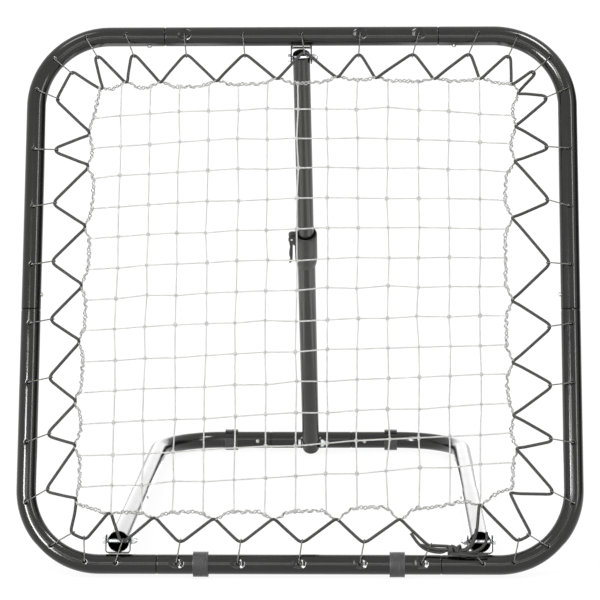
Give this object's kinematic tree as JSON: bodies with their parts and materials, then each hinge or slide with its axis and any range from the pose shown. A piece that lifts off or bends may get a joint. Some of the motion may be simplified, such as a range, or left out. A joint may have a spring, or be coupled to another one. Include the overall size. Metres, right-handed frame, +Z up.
{
  "type": "pitch back rebounder",
  "caption": "Square ball-return net laced with elastic cord into a black tube frame that leans back on a U-shaped base and a telescopic rear strut with a flip-lock clamp",
  "frame": {"origin": "on the ground, halfway between the front face of the frame's bottom tube feet and the back of the rear feet, midway between the sides", "axes": "+Z up, +Y from the net side towards the rear base tube, +X to the right as seen from the front"},
  "size_m": [1, 1.059, 0.9399],
  "materials": {
    "black_paint": "gloss",
    "strut_paint": "gloss",
    "zinc_plated_steel": "satin",
    "grey_plastic": "matte",
    "black_plastic": "satin",
    "net_twine": "matte",
    "elastic_cover": "matte"
  },
  "bodies": {
    "base": {"base_centre_tube": "black_paint", "base_corner_tube_left": "black_paint", "base_corner_tube_right": "black_paint", "base_leg_left": "black_paint", "base_leg_right": "black_paint", "rear_foot_left": "grey_plastic", "rear_foot_right": "grey_plastic", "strut_rear_bolt": "zinc_plated_steel", "strut_rear_bracket": "black_paint", "strut_rear_nut": "zinc_plated_steel"},
    "frame": {"elastic_cord": "elastic_cover", "frame_bottom_tube": "black_paint", "frame_corner_tube_bottom_left": "black_paint", "frame_corner_tube_bottom_right": "black_paint", "frame_corner_tube_top_left": "black_paint", "frame_corner_tube_top_right": "black_paint", "frame_top_tube": "black_paint", "front_foot_left": "grey_plastic", "front_foot_right": "grey_plastic", "leg_bracket_left": "black_paint", "leg_bracket_right": "black_paint", "leg_pivot_bolt_left": "zinc_plated_steel", "leg_pivot_bolt_right": "zinc_plated_steel", "leg_pivot_nut_left": "zinc_plated_steel", "leg_pivot_nut_right": "zinc_plated_steel", "net": "net_twine", "strut_top_bolt": "zinc_plated_steel", "strut_top_bracket": "black_paint", "strut_top_nut": "zinc_plated_steel"},
    "strut_lower": {"strut_lower_tube": "strut_paint", "strut_end_plug": "black_plastic", "clamp_collar": "black_plastic", "clamp_lever_pin": "zinc_plated_steel"},
    "strut_upper": {"strut_upper_tube": "strut_paint", "strut_guide": "black_plastic"},
    "clamp_lever": {"clamp_lever": "black_plastic"},
    "snap_button_bottom_left_body": {"snap_button_bottom_left": "zinc_plated_steel"},
    "snap_button_bottom_right_body": {"snap_button_bottom_right": "zinc_plated_steel"},
    "snap_button_leg_left_body": {"snap_button_leg_left": "zinc_plated_steel"},
    "snap_button_leg_right_body": {"snap_button_leg_right": "zinc_plated_steel"},
    "snap_button_rear_left_body": {"snap_button_rear_left": "zinc_plated_steel"},
    "snap_button_rear_right_body": {"snap_button_rear_right": "zinc_plated_steel"},
    "snap_button_side_left_body": {"snap_button_side_left": "zinc_plated_steel"},
    "snap_button_side_right_body": {"snap_button_side_right": "zinc_plated_steel"},
    "snap_button_top_left_body": {"snap_button_top_left": "zinc_plated_steel"},
    "snap_button_top_right_body": {"snap_button_top_right": "zinc_plated_steel"}
  },
  "joints": [
    {"name": "frame_tilt", "type": "hinge", "parent": "base", "child": "frame", "pos_m": [0, -0.49229, 0.05978], "axis": [-1, 0, 0], "range_deg": [-12, 12]},
    {"name": "strut_swing", "type": "hinge", "parent": "base", "child": "strut_lower", "pos_m": [0, 0.46601, 0.02307], "axis": [1, 0, 0], "range_deg": [-5.4, 5.4]},
    {"name": "strut_slide", "type": "slide", "parent": "strut_lower", "child": "strut_upper", "axis": [0, -0.5977, 0.8018], "range_m": [-0.157, 0.157]},
    {"name": "clamp_lever_flip", "type": "hinge", "parent": "strut_lower", "child": "clamp_lever", "pos_m": [-0.0275, 0.09786, 0.51695], "axis": [0, 0.8018, 0.5977], "range_deg": [0, 110]},
    {"name": "snap_button_bottom_left_press", "type": "slide", "parent": "frame", "child": "snap_button_bottom_left_body", "axis": [0, -0.9336, 0.3584], "range_m": [0, 0.005], "stiffness_N_per_m": 800},
    {"name": "snap_button_bottom_right_press", "type": "slide", "parent": "frame", "child": "snap_button_bottom_right_body", "axis": [0, -0.9336, 0.3584], "range_m": [0, 0.005], "stiffness_N_per_m": 800},
    {"name": "snap_button_leg_left_press", "type": "slide", "parent": "base", "child": "snap_button_leg_left_body", "axis": [-1, 0, 0], "range_m": [0, 0.005], "stiffness_N_per_m": 800},
    {"name": "snap_button_leg_right_press", "type": "slide", "parent": "base", "child": "snap_button_leg_right_body", "axis": [1, 0, 0], "range_m": [0, 0.005], "stiffness_N_per_m": 800},
    {"name": "snap_button_rear_left_press", "type": "slide", "parent": "base", "child": "snap_button_rear_left_body", "axis": [0, 0.9993, -0.0383], "range_m": [0, 0.005], "stiffness_N_per_m": 800},
    {"name": "snap_button_rear_right_press", "type": "slide", "parent": "base", "child": "snap_button_rear_right_body", "axis": [0, 0.9993, -0.0383], "range_m": [0, 0.005], "stiffness_N_per_m": 800},
    {"name": "snap_button_side_left_press", "type": "slide", "parent": "frame", "child": "snap_button_side_left_body", "axis": [-1, 0, 0], "range_m": [0, 0.005], "stiffness_N_per_m": 800},
    {"name": "snap_button_side_right_press", "type": "slide", "parent": "frame", "child": "snap_button_side_right_body", "axis": [1, 0, 0], "range_m": [0, 0.005], "stiffness_N_per_m": 800},
    {"name": "snap_button_top_left_press", "type": "slide", "parent": "frame", "child": "snap_button_top_left_body", "axis": [0, 0.3584, 0.9336], "range_m": [0, 0.005], "stiffness_N_per_m": 800},
    {"name": "snap_button_top_right_press", "type": "slide", "parent": "frame", "child": "snap_button_top_right_body", "axis": [0, 0.3584, 0.9336], "range_m": [0, 0.005], "stiffness_N_per_m": 800}
  ],
  "couplings": [
    {"joint": "strut_swing", "follows": "frame_tilt", "ratio": -0.438},
    {"joint": "strut_slide", "follows": "frame_tilt", "m_per_rad": -0.74496}
  ]
}
